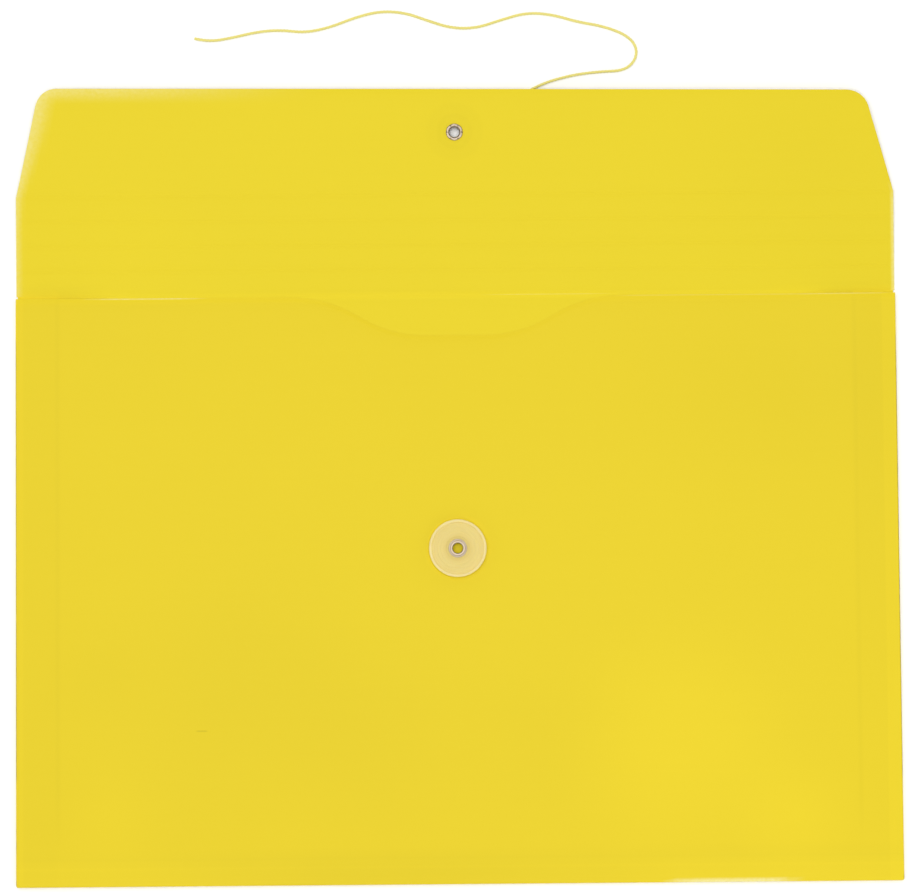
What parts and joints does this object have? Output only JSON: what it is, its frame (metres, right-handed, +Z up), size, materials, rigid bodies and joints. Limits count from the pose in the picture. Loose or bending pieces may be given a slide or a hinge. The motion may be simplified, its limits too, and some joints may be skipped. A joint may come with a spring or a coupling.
{
  "type": "string tie envelope",
  "caption": "Flat plastic document envelope with bellows sides and bottom, a scored fold-over flap with tapered ends, riveted button discs and a tie string.",
  "frame": {"origin": "middle of the open envelope's outline, on the surface it lies on", "axes": "+X across the envelope, +Y from the pocket's bottom fold towards the open flap, +Z up out of the pocket's front"},
  "size_m": [0.3682, 0.3661, 0.0053],
  "materials": {
    "polypropylene_sheet": "extruded yellow polypropylene sheet with a fine satin grain, slightly see-through",
    "button_plastic": "moulded milky translucent plastic",
    "eyelet_metal": "bright nickel-plated rolled brass",
    "string_cord": "thin twisted pale yellow cord"
  },
  "bodies": {
    "back_panel": {"back_panel": "polypropylene_sheet"},
    "left_rear_leaf": {"left_rear_leaf": "polypropylene_sheet"},
    "left_front_leaf": {"left_front_leaf": "polypropylene_sheet"},
    "front_panel": {"front_panel": "polypropylene_sheet", "left_weld_tab": "polypropylene_sheet", "right_weld_tab": "polypropylene_sheet", "bottom_weld_tab": "polypropylene_sheet", "pocket_button": "button_plastic", "pocket_eyelet": "eyelet_metal"},
    "right_rear_leaf": {"right_rear_leaf": "polypropylene_sheet"},
    "right_front_leaf": {"right_front_leaf": "polypropylene_sheet"},
    "bottom_rear_leaf": {"bottom_rear_leaf": "polypropylene_sheet"},
    "bottom_front_leaf": {"bottom_front_leaf": "polypropylene_sheet"},
    "flap_strip_1": {"flap_strip_1": "polypropylene_sheet"},
    "flap_strip_2": {"flap_strip_2": "polypropylene_sheet"},
    "flap_strip_3": {"flap_strip_3": "polypropylene_sheet"},
    "flap_strip_4": {"flap_strip_4": "polypropylene_sheet"},
    "flap_lid": {"flap_lid": "polypropylene_sheet", "flap_button": "button_plastic", "flap_eyelet": "eyelet_metal", "string_loop": "string_cord", "tie_string": "string_cord"}
  },
  "joints": [
    {"name": "pocket_expand", "type": "hinge", "parent": "back_panel", "child": "left_rear_leaf", "pos_m": [-0.18415, -0.043, 0.00055], "axis": [0, -1, 0], "range_deg": [0, 55]},
    {"name": "left_inner_fold", "type": "hinge", "parent": "left_rear_leaf", "child": "left_front_leaf", "pos_m": [-0.16665, -0.043, 0.00115], "axis": [0, 1, 0], "range_deg": [0, 110]},
    {"name": "front_edge_fold", "type": "hinge", "parent": "left_front_leaf", "child": "front_panel", "pos_m": [-0.18415, -0.043, 0.00175], "axis": [0, -1, 0], "range_deg": [0, 55]},
    {"name": "right_rear_fold", "type": "hinge", "parent": "back_panel", "child": "right_rear_leaf", "pos_m": [0.18415, -0.043, 0.00055], "axis": [0, 1, 0], "range_deg": [0, 55]},
    {"name": "right_inner_fold", "type": "hinge", "parent": "right_rear_leaf", "child": "right_front_leaf", "pos_m": [0.16665, -0.043, 0.00115], "axis": [0, -1, 0], "range_deg": [0, 110]},
    {"name": "bottom_rear_fold", "type": "hinge", "parent": "back_panel", "child": "bottom_rear_leaf", "pos_m": [0, -0.16571, 0.00055], "axis": [1, 0, 0], "range_deg": [0, 55]},
    {"name": "bottom_inner_fold", "type": "hinge", "parent": "bottom_rear_leaf", "child": "bottom_front_leaf", "pos_m": [0, -0.14821, 0.00115], "axis": [-1, 0, 0], "range_deg": [0, 110]},
    {"name": "flap_crease_1", "type": "hinge", "parent": "back_panel", "child": "flap_strip_1", "pos_m": [0, 0.07979, 0.0005], "axis": [1, 0, 0], "range_deg": [0, 35.5]},
    {"name": "flap_crease_2", "type": "hinge", "parent": "flap_strip_1", "child": "flap_strip_2", "pos_m": [0, 0.09028, 0.00096], "axis": [1, 0, 0], "range_deg": [0, 35.5]},
    {"name": "flap_crease_3", "type": "hinge", "parent": "flap_strip_2", "child": "flap_strip_3", "pos_m": [0, 0.10077, 0.00141], "axis": [1, 0, 0], "range_deg": [0, 35.5]},
    {"name": "flap_crease_4", "type": "hinge", "parent": "flap_strip_3", "child": "flap_strip_4", "pos_m": [0, 0.11126, 0.00187], "axis": [1, 0, 0], "range_deg": [0, 35.5]},
    {"name": "flap_crease_5", "type": "hinge", "parent": "flap_strip_4", "child": "flap_lid", "pos_m": [0, 0.12175, 0.00233], "axis": [1, 0, 0], "range_deg": [0, 35.5]}
  ],
  "couplings": [
    {"joint": "left_inner_fold", "follows": "pocket_expand", "ratio": 2},
    {"joint": "front_edge_fold", "follows": "pocket_expand", "ratio": 1},
    {"joint": "right_rear_fold", "follows": "pocket_expand", "ratio": 1},
    {"joint": "right_inner_fold", "follows": "pocket_expand", "ratio": 2},
    {"joint": "bottom_rear_fold", "follows": "pocket_expand", "ratio": 1},
    {"joint": "bottom_inner_fold", "follows": "pocket_expand", "ratio": 2},
    {"joint": "flap_crease_2", "follows": "flap_crease_1", "ratio": 1},
    {"joint": "flap_crease_3", "follows": "flap_crease_1", "ratio": 1},
    {"joint": "flap_crease_4", "follows": "flap_crease_1", "ratio": 1},
    {"joint": "flap_crease_5", "follows": "flap_crease_1", "ratio": 1}
  ]
}
